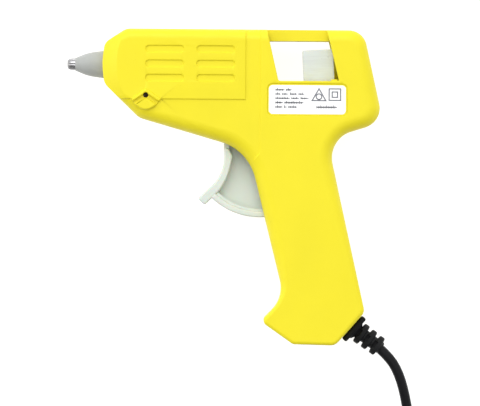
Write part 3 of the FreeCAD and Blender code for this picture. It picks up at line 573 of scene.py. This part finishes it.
def islands(node):
    """Lowest and highest corners of each separate solid of a CAD node."""
    work = bmesh.new()
    work.from_mesh(NODES[node].data)
    bmesh.ops.remove_doubles(work, verts=work.verts, dist=MERGE)
    found, seen = [], set()
    for start in work.verts:
        if start in seen:
            continue
        group, queue = [], [start]
        seen.add(start)
        while queue:
            vertex = queue.pop()
            group.append(vertex.co.copy())
            for edge in vertex.link_edges:
                other = edge.other_vert(vertex)
                if other not in seen:
                    seen.add(other)
                    queue.append(other)
        found.append((Vector(map(min, zip(*group))), Vector(map(max, zip(*group)))))
    work.free()
    return found


# ---------------------------------------------------------------- geometry nodes
def repeat_tree(name, shape, material):
    """Tree that puts a shape at every vertex of the mesh it is given, at a stated size."""
    tree = bpy.data.node_groups.new(name, "GeometryNodeTree")
    tree.interface.new_socket("Geometry", in_out="INPUT", socket_type="NodeSocketGeometry")
    size = tree.interface.new_socket("Size", in_out="INPUT", socket_type="NodeSocketFloat")
    size.default_value = 1.0
    tree.interface.new_socket("Geometry", in_out="OUTPUT", socket_type="NodeSocketGeometry")
    add = tree.nodes.new
    start, end = add("NodeGroupInput"), add("NodeGroupOutput")
    source = add("GeometryNodeObjectInfo")
    source.inputs["Object"].default_value = shape
    points = add("GeometryNodeMeshToPoints")
    copies = add("GeometryNodeInstanceOnPoints")
    real = add("GeometryNodeRealizeInstances")
    finish = add("GeometryNodeSetMaterial")
    finish.inputs["Material"].default_value = material
    for a, b in ((start.outputs["Geometry"], points.inputs["Mesh"]),
                 (points.outputs["Points"], copies.inputs["Points"]),
                 (source.outputs["Geometry"], copies.inputs["Instance"]),
                 (start.outputs["Size"], copies.inputs["Scale"]),
                 (copies.outputs["Instances"], real.inputs["Geometry"]),
                 (real.outputs["Geometry"], finish.inputs["Geometry"]),
                 (finish.outputs["Geometry"], end.inputs["Geometry"])):
        tree.links.new(a, b)
    return tree, size.identifier


def repeated(name, shape_mesh, places, material, size=1.0):
    """Plain mesh of a shape repeated at places by a Geometry Nodes tree."""
    shape = linked(name + "_shape", shape_mesh)
    points = bpy.data.meshes.new(name + "_places")
    points.from_pydata([tuple(place) for place in places], [], [])
    carrier = linked(name + "_places", points)
    tree, identifier = repeat_tree(name, shape, material)
    modifier = carrier.modifiers.new(name, "NODES")
    modifier.node_group = tree
    modifier[identifier] = size
    mesh = finished_mesh(carrier)
    bpy.data.objects.remove(shape)
    return mesh


# ---------------------------------------------------------------- pieces
class GLUEGUN_OT_finishes(bpy.types.Operator):
    """Give every CAD node that stays in view or inside its finish"""
    bl_idname = "gluegun.finishes"
    bl_label = "Finishes"

    def execute(self, context):
        steel = turned_steel("zinc_steel", (0.60, 0.60, 0.58))
        spring = turned_steel("spring_steel", (0.42, 0.42, 0.43), 0.8)
        brass = turned_steel("contact_brass", (0.72, 0.55, 0.26))
        black = relief_rubber()
        chosen = {
            "rating_label": label_film(),
            "nozzle_sleeve": grey_silicone(),
            "melt_chamber": cast_aluminium(),
            "ptc_heater": moulded("heater_ceramic", (0.05, 0.048, 0.046), 0.6),
            "heater_electrodes": brass,
            "heater_insulation": moulded("brown_film", (0.25, 0.09, 0.02), 0.2, Coat_Weight=0.4),
            "heater_clip": spring,
            "inlet_sleeve": moulded("clear_silicone", (0.62, 0.58, 0.50), 0.4,
                                    Subsurface_Weight=0.4, Subsurface_Scale=2 * MM),
            "inlet_clamp": spring,
            "trigger_pin": steel,
            "link_pin": steel,
            "gripper_pin": steel,
            "return_spring": spring,
            "lead_wires": moulded("lead_insulation", (0.02, 0.06, 0.22), 0.3),
            "wire_crimps": brass,
            "cord_clamp": moulded("black_plastic", (0.02, 0.02, 0.02), 0.45),
            "clamp_screws": steel,
            "cord_inner_end": black,
            "plug_pins": turned_steel("pin_nickel", (0.66, 0.63, 0.57)),
        }
        for node, material in chosen.items():
            give(node, material)
        return {"FINISHED"}


class GLUEGUN_OT_shells(bpy.types.Operator):
    """Two housing shells with the hard edges of their side faces softened"""
    bl_idname = "gluegun.shells"
    bl_label = "Housing shells"

    def execute(self, context):
        material = shell_plastic()
        for side in ("left", "right"):
            mesh = softened(side + "_housing", settings().shell.edge)
            new_piece(side + "_shell", mesh, material, "housing",
                      [side + "_housing"])
        return {"FINISHED"}


class GLUEGUN_OT_trigger(bpy.types.Operator):
    """Finishes of the trigger, the drive link and the gripper"""
    bl_idname = "gluegun.trigger"
    bl_label = "Trigger and gripper"

    def execute(self, context):
        nylon = trigger_nylon()
        give("trigger", nylon)
        give("drive_link", nylon)
        give("gripper", gripper_nylon())
        return {"FINISHED"}


class GLUEGUN_OT_nozzle(bpy.types.Operator):
    """Fluted metal tip with its bore"""
    bl_idname = "gluegun.nozzle"
    bl_label = "Nozzle tip"

    def execute(self, context):
        chosen = settings().nozzle
        low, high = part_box("nozzle_tip")
        axis = (low + high) / 2
        length = high.x - low.x
        # Distance back from the tip and radius, in millimetres: bore, lip, fluted neck, collar
        # and shank.
        profile = [(2.2, 0.0), (2.2, 0.65), (0.2, 0.75), (0.03, 0.9), (0.0, 1.1), (0.08, 1.38),
                   (0.24, 1.64), (0.48, 1.86), (0.8, 2.03), (1.15, 2.14), (1.6, 2.2),
                   (2.1, 2.24), (2.7, 2.24), (3.2, 2.24), (5.0, 2.6), (8.0, 3.0), (11.2, 3.6),
                   (15.2, 4.19), (18.2, 4.19), (18.25, 2.95), (length / MM, 2.95),
                   (length / MM, 0.0)]
        flute_start, flute_end = mm(0.6, 3.4)

        def fluted(distance, radius, angle):
            if not flute_start < distance < flute_end:
                return radius
            wave = math.cos(chosen.flutes * angle)
            return radius - chosen.flute_depth * max(0.0, wave) ** 0.5

        work = lathe([mm(*point) for point in profile], Vector((low.x, axis.y, axis.z)), BACK, TOP,
                     128, fluted)
        mesh = mesh_from(work, "nozzle", 50)
        new_piece("nozzle", mesh, nozzle_metal(), "housing", ["nozzle_tip"])
        return {"FINISHED"}


class GLUEGUN_OT_label(bpy.types.Operator):
    """Print on the label: plain bars in place of words, and two plain marks"""
    bl_idname = "gluegun.label"
    bl_label = "Label print"

    def execute(self, context):
        low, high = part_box("rating_label")
        ink = 0.012 * MM            # thickness of the print
        pitch, stroke = 0.62, 0.34  # from one upright stroke to the next, and its width
        bar, short = 0.32, 0.74     # joining bar and short strokes, as shares of a letter's height
        work = bmesh.new()

        def word(x, y, width, height):
            """A word as a row of plain upright strokes joined by a thin bar."""
            marks = [(x, y - bar / 2 * height, width, bar * height)]
            for i in range(int(width / pitch)):
                tall = height * (1.0 if (3 * i + int(7 * x)) % 4 == 0 else short)
                foot = y + short / 2 * height
                marks.append((x + i * pitch, foot - tall, stroke, tall))
            for left, top, wide, tall in marks:
                middle = Vector((low.x + (left + wide / 2) * MM, high.y - (top + tall / 2) * MM,
                                 high.z + ink / 2))
                mark = rounded_box((*mm(wide, tall), ink), ink * 0.3, 1)
                add_to(work, moved(mark, Matrix.Translation(middle)))

        # Words of each line, in millimetres: start, the line's middle, size of letters, widths.
        for start, y, size, words in (
                (2.5, 1.8, 1.05, (3.4, 2.1)), (2.5, 3.4, 0.95, (1.9, 2.4, 2.6, 2.2)),
                (2.5, 5.0, 0.95, (5.4, 2.9, 3.0)), (2.5, 6.65, 1.1, (2.8, 7.2)),
                (2.5, 8.3, 1.0, (2.7, 1.0, 3.2)), (18.0, 8.3, 1.15, (7.8,))):
            for width in words:
                word(start, y, width, size)
                start += width + 0.6
        # A triangle round a ring, and a square in a square: middle, radius, corners, turn.
        line = 0.46 * MM
        for x, y, radius, corners, turn in (
                (18.95, 4.3, 3.45, 3, math.pi / 2), (18.95, 4.3, 1.3, 12, 0.0),
                (24.95, 3.5, 3.4, 4, math.pi / 4), (24.95, 3.5, 1.75, 4, math.pi / 4)):
            centre = Vector((low.x + x * MM, high.y - y * MM, high.z))
            width = line / math.cos(math.pi / corners)
            add_to(work, outline_mark(centre, radius * MM, corners, turn, width, ink))
        mesh = mesh_from(work, "label_print", 20)
        new_piece("label_print", mesh, label_ink(), "housing")
        return {"FINISHED"}


def outline_mark(centre, radius, corners, turn, width, height):
    """Flat closed outline with that many corners."""
    work = bmesh.new()
    rings = []
    for r, z in ((radius, 0.0), (radius, height), (radius - width, height), (radius - width, 0.0)):
        ring = []
        for i in range(corners):
            angle = turn + 2 * math.pi * i / corners
            place = Vector((r * math.cos(angle), r * math.sin(angle), z))
            ring.append(work.verts.new(centre + place))
        rings.append(ring)
    join_rings(work, rings + [rings[0]])
    return work


class GLUEGUN_OT_screws(bpy.types.Operator):
    """Five pan-head screws with cross recesses, driven in from the right side"""
    bl_idname = "gluegun.screws"
    bl_label = "Housing screws"

    def execute(self, context):
        found = islands("housing_screws")
        low, high = found[0]
        length = high.z - low.z
        head, head_height, shank, point = (high.x - low.x) / 2, 1.6 * MM, 1.05 * MM, 1.5 * MM
        # Distance and radius: the head is low and domed, and the screw points up along Z.
        profile = [(0.0, 0.0), (0.0, head * 0.55), (head_height * 0.25, head * 0.88),
                   (head_height * 0.6, head), (head_height, head * 0.97), (head_height, shank),
                   (length - point, shank), (length, 0.3 * MM), (length, 0.0)]
        blank = mesh_from(lathe(profile, Vector(), UP, BACK, 32), "screw", 30)
        recess = []
        for turn in (0.0, math.pi / 2):
            slot = rounded_box(mm(2.6, 0.6, 1.8), 0.12 * MM, 1)
            recess.append(mesh_from(moved(slot, Matrix.Rotation(turn, 4, "Z")), "recess"))
        steel = turned_steel("screw_zinc", (0.60, 0.60, 0.57))
        places = [((low.x + high.x) / 2, (low.y + high.y) / 2, low.z) for low, high in found]
        screws = repeated("screws", carved(blank, recess), places, steel)
        new_piece("cross_head_screws", screws, steel, "housing", ["housing_screws"])
        return {"FINISHED"}


class GLUEGUN_OT_cord(bpy.types.Operator):
    """Mains cord with its relief, its put-away coil and its plug"""
    bl_idname = "gluegun.cord"
    bl_label = "Mains cord"

    def execute(self, context):
        chosen = settings().cord
        relief = strain_relief()
        plug = plug_body()
        route = [Vector(p) for p in CORD_ROUTE] + coil_points(chosen.points_per_turn)
        route += [Vector(p) for p in TAIL_ROUTE]
        curve = bpy.data.curves.new("mains_cord", "CURVE")
        curve.dimensions = "3D"
        curve.bevel_depth = chosen.diameter / 2
        curve.bevel_resolution = 5
        curve.resolution_u = 5
        curve.use_fill_caps = True
        spline = curve.splines.new("NURBS")
        spline.points.add(len(route) - 1)
        for point, place in zip(spline.points, route):
            point.co = (*place, 1)
        spline.order_u = 3
        spline.use_endpoint_u = True
        curve.materials.append(cord_jacket())
        cord = linked("mains_cord", curve)
        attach(cord, "housing")
        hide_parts("cord", "cord_coil", "cord_tail")
        return {"FINISHED"}


def smooth_step(value, centre, half):
    """Soft step from 0 to 1, reaching half its width each side of the centre."""
    t = min(1.0, max(0.0, (value - centre + half) / (2 * half)))
    return t * t * (3 - 2 * t)


def coil_points(points_per_turn):
    """Control points of the put-away coil: inwards in the lower layer, outwards in the upper."""
    step = 360.0 / points_per_turn
    jog, ramp = 22.0, 45.0      # half the turn that a step sideways and the climb take
    inward = [45.0 + 360.0 * k for k in range(4)]
    climb = inward[-1] + 315.0
    outward = [climb - 45.0 + 360.0 * (k + 1) for k in range(4)]
    leaves = outward[-1] + 160.0
    points = []
    travel = 0.0
    while travel < leaves + 0.1:
        steps_in = sum(smooth_step(travel, place, jog) for place in inward)
        steps_out = sum(smooth_step(travel, place, jog) for place in outward)
        radius = COIL_OUTSIDE + COIL_PITCH * (steps_out - steps_in)
        height = COIL_PITCH * smooth_step(travel, climb, ramp)
        # Control points lie outside their curve, so they reach a little further out.
        reach = radius / math.cos(math.radians(step / 2))
        angle = math.radians(-travel)
        place = Vector((reach * math.cos(angle), reach * math.sin(angle), height))
        points.append(COIL_CENTRE + place)
        travel += step
    return points


def strain_relief():
    """Flexing relief: a flange on the housing's facet, ribs that taper, and pockets between."""
    across = UP.cross(CORD_DIRECTION)
    # Distance out from the facet, half width in the joint plane and half height, in millimetres.
    stations = [(-1.2, 2.6, 3.0), (1.9, 4.1, 4.1), (2.5, 3.7, 3.8), (3.1, 2.75, 3.35)]
    # One side of a rib: distance from its middle, and how far it falls in width and in height.
    flank = ((1.18, 0.7, 0.5), (0.98, 0.14, 0.14), (0.6, 0.0, 0.0))
    for centre, radius in RELIEF_RIBS:
        core = 2.55 - 0.0125 * centre
        stations.append((centre - 1.3, core, 3.3))
        stations += [(centre - away, radius - a, radius - b) for away, a, b in flank]
        stations += [(centre + away, radius - a, radius - b) for away, a, b in reversed(flank)]
        stations.append((centre + 1.3, core, 3.3))
    stations += [(13.6, 2.35, 2.4), (14.0, 2.05, 2.1)]
    sections = [(RELIEF_FOOT + CORD_DIRECTION * (d * MM), *mm(a, b)) for d, a, b in stations]
    stem = mesh_from(loft(sections, across, 2.3), "relief", 40)
    pockets = []
    for distance in RELIEF_POCKETS:
        for side in (1, -1):
            place = RELIEF_FOOT + CORD_DIRECTION * (distance * MM) + UP * (side * 3.4 * MM)
            pocket = moved(rounded_box(mm(1.5, 2.7, 2.8), 0.2 * MM),
                           turned_to(CORD_DIRECTION, across, place))
            pockets.append(mesh_from(pocket, "pocket"))
    work = bmesh.new()
    work.from_mesh(carved(stem, pockets))
    flange = rounded_box(mm(2.1, 11.6, 9.2), 0.75 * MM, 3)
    foot = RELIEF_FOOT + FACET_NORMAL * (1.25 * MM)
    add_to(work, moved(flange, turned_to(FACET_NORMAL, UP.cross(FACET_NORMAL), foot)))
    mesh = mesh_from(work, "relief_boot", 40)
    return new_piece("relief_boot", mesh, relief_rubber(), "housing",
                     ["strain_relief"])


def plug_body():
    """Moulded two-pin plug: a ribbed relief, a waisted grip and a flat face."""
    low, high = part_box("plug_body")
    middle = (low + high) / 2
    end, face = high.x, low.x
    half_width, half_height = (high.y - low.y) / 2, (high.z - low.z) / 2
    sections = []

    def section(x, width, height):
        sections.append((Vector((x, middle.y, middle.z)), width, height))

    # Each ring of the relief: place in its share of the length, and swell in millimetres.
    relief, rings = 12.0 * MM, 4
    for i in range(rings):
        for part, swell in ((0.05, 0.0), (0.18, 0.55), (0.30, 0.62), (0.62, 0.62), (0.74, 0.55),
                            (0.9, 0.0)):
            t = (i + part) / rings
            radius = (2.5 + 1.7 * t + swell) * MM
            section(end - relief * t, radius, radius)
    # The body from the relief to the face: share of its length, of its width and of its height.
    length = end - relief - face
    for t, width, height in ((0.0, 0.45, 0.60), (0.02, 0.60, 0.72), (0.06, 0.74, 0.82),
                             (0.13, 0.84, 0.90), (0.25, 0.86, 0.88), (0.40, 0.80, 0.84),
                             (0.55, 0.80, 0.85), (0.70, 0.88, 0.92), (0.84, 0.97, 0.98),
                             (0.93, 1.0, 1.0), (0.975, 1.0, 1.0), (0.995, 0.98, 0.97),
                             (1.0, 0.95, 0.94)):
        section(end - relief - length * t, half_width * width, half_height * height)
    mesh = mesh_from(loft(sections, TOP, 3.0), "plug", 38)
    rubber = relief_rubber()
    body = new_piece("plug_moulding", mesh, rubber, "housing", ["plug_body"])
    # Six grip ribs on each broad side, in the waist.
    rib = mesh_from(rounded_box(mm(0.9, 12.0, 0.9), 0.35 * MM), "grip_rib")
    waist = end - relief - length * 0.42
    rise = half_height * 0.83
    pitch = 1.9 * MM
    places = [(waist + (i - 2.5) * pitch, middle.y, middle.z + side * rise)
              for side in (1, -1) for i in range(6)]
    ribs = repeated("grip_ribs", rib, places, rubber)
    piece = new_piece("plug_grip_ribs", ribs, rubber, "housing")
    piece.parent = body
    return body


class GLUEGUN_OT_stage(bpy.types.Operator):
    """Pale floor, soft light and the camera above the gun"""
    bl_idname = "gluegun.stage"
    bl_label = "Stage"

    def execute(self, context):
        white_floor()
        studio_light()
        area_lights()
        overhead_camera()
        context.scene.view_settings.view_transform = "Standard"
        return {"FINISHED"}


def white_floor():
    """Wide floor just under the gun, with a little light of its own."""
    reach = 30.0
    mesh = bpy.data.meshes.new("floor")
    mesh.from_pydata([(-reach, -reach, 0), (reach, -reach, 0), (reach, reach, 0),
                      (-reach, reach, 0)], [], [(0, 1, 2, 3)])
    floor = linked("floor", mesh)
    floor.location.z = CAD_BOX[0].z - 0.05 * MM
    finish = Finish("floor_white", (0.32, 0.32, 0.32), 0.9, Specular_IOR_Level=0.05)
    finish.shader.inputs["Emission Color"].default_value = (1, 1, 1, 1)
    finish.shader.inputs["Emission Strength"].default_value = settings().stage.floor_glow
    mesh.materials.append(finish.material)


def studio_light():
    """Even light all round, weaker from the side that the gun's underside faces."""
    ambient = settings().stage.ambient
    world = bpy.data.worlds.new("studio")
    world.use_nodes = True
    tree = world.node_tree
    background = tree.nodes["Background"]
    background.inputs["Color"].default_value = (1, 1, 1, 1)
    direction = tree.nodes.new("ShaderNodeTexCoord")
    split = tree.nodes.new("ShaderNodeSeparateXYZ")
    fade = tree.nodes.new("ShaderNodeMapRange")
    fade.interpolation_type = "SMOOTHSTEP"
    for name, value in (("From Min", -0.9), ("From Max", 0.3), ("To Min", 0.25 * ambient),
                        ("To Max", ambient)):
        fade.inputs[name].default_value = value
    tree.links.new(direction.outputs["Generated"], split.inputs[0])
    tree.links.new(split.outputs["Y"], fade.inputs["Value"])
    tree.links.new(fade.outputs["Result"], background.inputs["Strength"])
    bpy.context.scene.world = world


def area_lights():
    """Key light from the top edge's side, a side light from the nozzle's and a weak fill."""
    key = settings().stage.key
    # Name, place from the gun's middle, width and power.
    for name, place, size, power in (("key", Vector((-0.25, 1.0, 1.3)), 1.1, key),
                                     ("side", Vector((-1.3, 0.25, 0.7)), 0.8, 0.5 * key),
                                     ("fill", Vector((0.5, -0.5, 1.5)), 1.2, 0.2 * key)):
        data = bpy.data.lights.new(name, "AREA")
        data.size = size
        data.energy = power
        light = linked(name, data)
        light.location = MIDDLE + place
        light.rotation_euler = (-place).to_track_quat("-Z", "Y").to_euler()


def overhead_camera():
    """Camera that looks straight down on the gun's left side."""
    chosen = settings().stage
    data = bpy.data.cameras.new("camera")
    data.sensor_width = 36.0
    data.lens = data.sensor_width * chosen.distance / chosen.frame_width
    data.clip_end = 40.0
    camera = linked("camera", data)
    camera.location = MIDDLE + UP * chosen.distance
    camera.rotation_euler = (0, 0, chosen.roll)
    bpy.context.scene.camera = camera


class GLUEGUN_PT_panel(bpy.types.Panel):
    """Sidebar panel that lists the gun's pieces"""
    bl_idname = "GLUEGUN_PT_panel"
    bl_label = "Glue gun"
    bl_space_type = "VIEW_3D"
    bl_region_type = "UI"
    bl_category = "Glue gun"

    def draw(self, context):
        for operator in OPERATORS:
            self.layout.operator(operator.bl_idname)


OPERATORS = (GLUEGUN_OT_stage, GLUEGUN_OT_finishes, GLUEGUN_OT_shells, GLUEGUN_OT_trigger,
             GLUEGUN_OT_nozzle, GLUEGUN_OT_label, GLUEGUN_OT_screws, GLUEGUN_OT_cord)
GROUPS = (ShellSettings, TriggerSettings, CordSettings, NozzleSettings, StageSettings,
          GlueGunSettings)


def register():
    for cls in GROUPS + OPERATORS + (GLUEGUN_PT_panel,):
        bpy.utils.register_class(cls)
    bpy.types.Scene.glue_gun = PointerProperty(type=GlueGunSettings)


def unregister():
    del bpy.types.Scene.glue_gun
    for cls in reversed(GROUPS + OPERATORS + (GLUEGUN_PT_panel,)):
        bpy.utils.unregister_class(cls)


def main():
    register()
    for operator in OPERATORS:
        group, name = operator.bl_idname.split(".")
        getattr(getattr(bpy.ops, group), name)()


if __name__ == "__main__":
    main()
